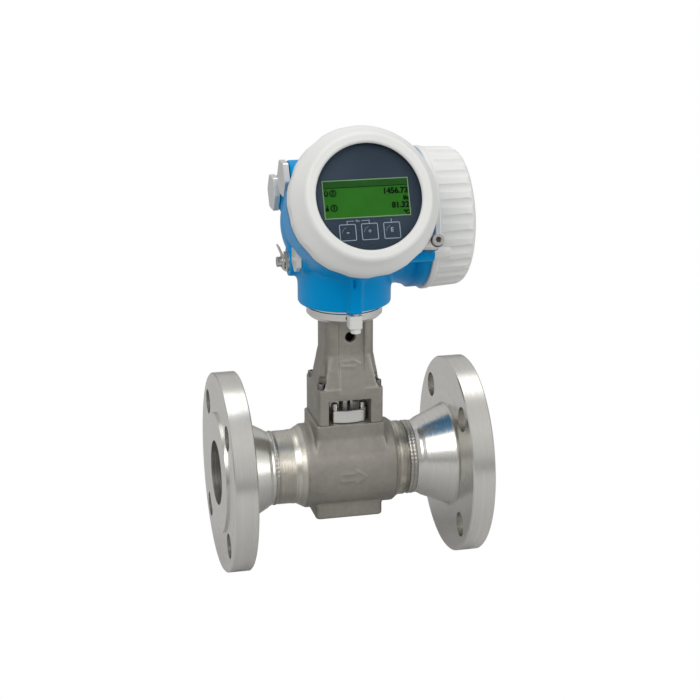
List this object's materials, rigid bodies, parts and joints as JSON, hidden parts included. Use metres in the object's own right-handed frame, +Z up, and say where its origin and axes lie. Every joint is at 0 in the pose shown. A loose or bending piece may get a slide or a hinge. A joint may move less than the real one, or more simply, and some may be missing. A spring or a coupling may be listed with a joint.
{
  "type": "vortex flow meter",
  "caption": "Flanged in-line vortex flow meter with a bolted support neck, a swivelling transmitter housing, a tilted round display and a side terminal compartment",
  "frame": {"origin": "centre of the inlet flange's raised face, on the pipe axis", "axes": "+X is the flow direction along the pipe, +Z is up along the neck towards the transmitter, the display faces -Y and looks up"},
  "size_m": [0.2, 0.1724, 0.3467],
  "materials": {
    "flange_steel": "turned and faced stainless steel, bright",
    "weld_steel": "pickled weld bead",
    "cast_steel": "bead-blasted stainless casting, satin",
    "bright_steel": "turned stainless steel",
    "dark_steel": "dark screws",
    "graphite": "graphite sheet gasket",
    "cable_sheath": "grey sheath",
    "seal_rubber": "black elastomer",
    "blue_paint": "satin blue powder coat",
    "cover_paint": "satin light grey powder coat",
    "module_plastic": "moulded grey",
    "terminal_plastic": "moulded green",
    "display_panel": "dark slate front foil",
    "screen": "green backlit liquid crystal",
    "window_glass": "clear glass",
    "aluminium_ring": "plain aluminium",
    "nickel": "nickel-plated brass"
  },
  "bodies": {
    "meter": {"inlet_flange": "flange_steel", "outlet_flange": "flange_steel", "inlet_weld": "weld_steel", "outlet_weld": "weld_steel", "meter_body": "cast_steel", "bluff_body": "cast_steel", "sensor_probe": "bright_steel", "sensor_gasket": "graphite", "sensor_flange": "bright_steel", "sensor_screws": "bright_steel", "support_neck": "cast_steel", "neck_bolts": "dark_steel", "swivel_collar": "bright_steel", "collar_set_screw": "dark_steel", "sensor_cable": "cable_sheath", "swivel_seal": "seal_rubber"},
    "head": {"transmitter_housing": "blue_paint", "electronics_module": "module_plastic", "electronics_screws": "bright_steel", "electronics_cable": "cable_sheath", "display_module": "display_panel", "display_screen": "screen", "terminal_carrier": "module_plastic", "terminal_block": "terminal_plastic", "terminal_screws": "bright_steel", "inner_ground_screw": "bright_steel", "feedthrough": "module_plastic", "ground_screw": "bright_steel", "ground_clip": "bright_steel", "ground_washer": "bright_steel"},
    "display_seal": {"display_cover_seal": "seal_rubber"},
    "display_lid": {"display_cover": "cover_paint", "display_window": "window_glass", "window_retainer": "aluminium_ring"},
    "terminal_seal": {"terminal_cover_seal": "seal_rubber"},
    "terminal_lid": {"terminal_cover": "cover_paint"},
    "display_clamp": {"display_cover_clamp": "bright_steel", "display_clamp_screw": "bright_steel"},
    "terminal_clamp": {"terminal_cover_clamp": "bright_steel", "terminal_clamp_screw": "bright_steel"},
    "lock_claw": {"swivel_lock_claw": "bright_steel"},
    "lock_screw": {"swivel_lock_screw": "bright_steel"},
    "front_plug_seal": {"plug_seal_front": "seal_rubber"},
    "front_plug": {"cable_plug_front": "nickel"},
    "rear_plug_seal": {"plug_seal_rear": "seal_rubber"},
    "rear_plug": {"cable_plug_rear": "nickel"},
    "small_plug_ring": {"small_plug_seal": "seal_rubber"},
    "small_plug_body": {"small_plug": "nickel"}
  },
  "joints": [
    {"name": "housing_swivel", "type": "hinge", "parent": "meter", "child": "head", "pos_m": [0.1, 0, 0.135], "axis": [0, 0, 1], "range_deg": [-175, 175]},
    {"name": "display_cover_travel", "type": "slide", "parent": "head", "child": "display_seal", "axis": [0, -0.9135, 0.4067], "range_m": [0, 0.013]},
    {"name": "display_cover_turn", "type": "hinge", "parent": "display_seal", "child": "display_lid", "pos_m": [0.1, -0.06029, 0.2195], "axis": [0, -0.9135, 0.4067], "range_deg": [0, 2340]},
    {"name": "terminal_cover_travel", "type": "slide", "parent": "head", "child": "terminal_seal", "axis": [1, 0, 0], "range_m": [0, 0.013]},
    {"name": "terminal_cover_turn", "type": "hinge", "parent": "terminal_seal", "child": "terminal_lid", "pos_m": [0.166, 0.02, 0.1856], "axis": [1, 0, 0], "range_deg": [0, 2340]},
    {"name": "lock_travel", "type": "slide", "parent": "head", "child": "lock_claw", "axis": [0, 0, -1], "range_m": [0, 0.0014]},
    {"name": "lock_turn", "type": "hinge", "parent": "lock_claw", "child": "lock_screw", "pos_m": [0.1006, -0.0345, 0.118], "axis": [0, 0, -1], "range_deg": [0, 720]},
    {"name": "front_plug_travel", "type": "slide", "parent": "head", "child": "front_plug_seal", "axis": [-1, 0, 0], "range_m": [0, 0.012]},
    {"name": "front_plug_turn", "type": "hinge", "parent": "front_plug_seal", "child": "front_plug", "pos_m": [0.0548, 0.0112, 0.2229], "axis": [-1, 0, 0], "range_deg": [0, 2880]},
    {"name": "rear_plug_travel", "type": "slide", "parent": "head", "child": "rear_plug_seal", "axis": [-1, 0, 0], "range_m": [0, 0.012]},
    {"name": "rear_plug_turn", "type": "hinge", "parent": "rear_plug_seal", "child": "rear_plug", "pos_m": [0.0534, 0.0431, 0.2052], "axis": [-1, 0, 0], "range_deg": [0, 2880]},
    {"name": "small_plug_travel", "type": "slide", "parent": "head", "child": "small_plug_ring", "axis": [-1, 0, 0], "range_m": [0, 0.01]},
    {"name": "small_plug_turn", "type": "hinge", "parent": "small_plug_ring", "child": "small_plug_body", "pos_m": [0.059, -0.014, 0.1687], "axis": [-1, 0, 0], "range_deg": [0, 2880]},
    {"name": "display_clamp_turn", "type": "hinge", "parent": "head", "child": "display_clamp", "pos_m": [0.15084, -0.07295, 0.19108], "axis": [0, -0.9135, 0.4067], "range_deg": [0, 110]},
    {"name": "terminal_clamp_turn", "type": "hinge", "parent": "head", "child": "terminal_clamp", "pos_m": [0.166, -0.0384, 0.1722], "axis": [1, 0, 0], "range_deg": [-110, 0]}
  ],
  "couplings": [
    {"joint": "display_cover_travel", "follows": "display_cover_turn", "m_per_rad": 0.00031831},
    {"joint": "terminal_cover_travel", "follows": "terminal_cover_turn", "m_per_rad": 0.00031831},
    {"joint": "lock_travel", "follows": "lock_turn", "m_per_rad": 0.00011141},
    {"joint": "front_plug_travel", "follows": "front_plug_turn", "m_per_rad": 0.00023873},
    {"joint": "rear_plug_travel", "follows": "rear_plug_turn", "m_per_rad": 0.00023873},
    {"joint": "small_plug_travel", "follows": "small_plug_turn", "m_per_rad": 0.00019894}
  ]
}
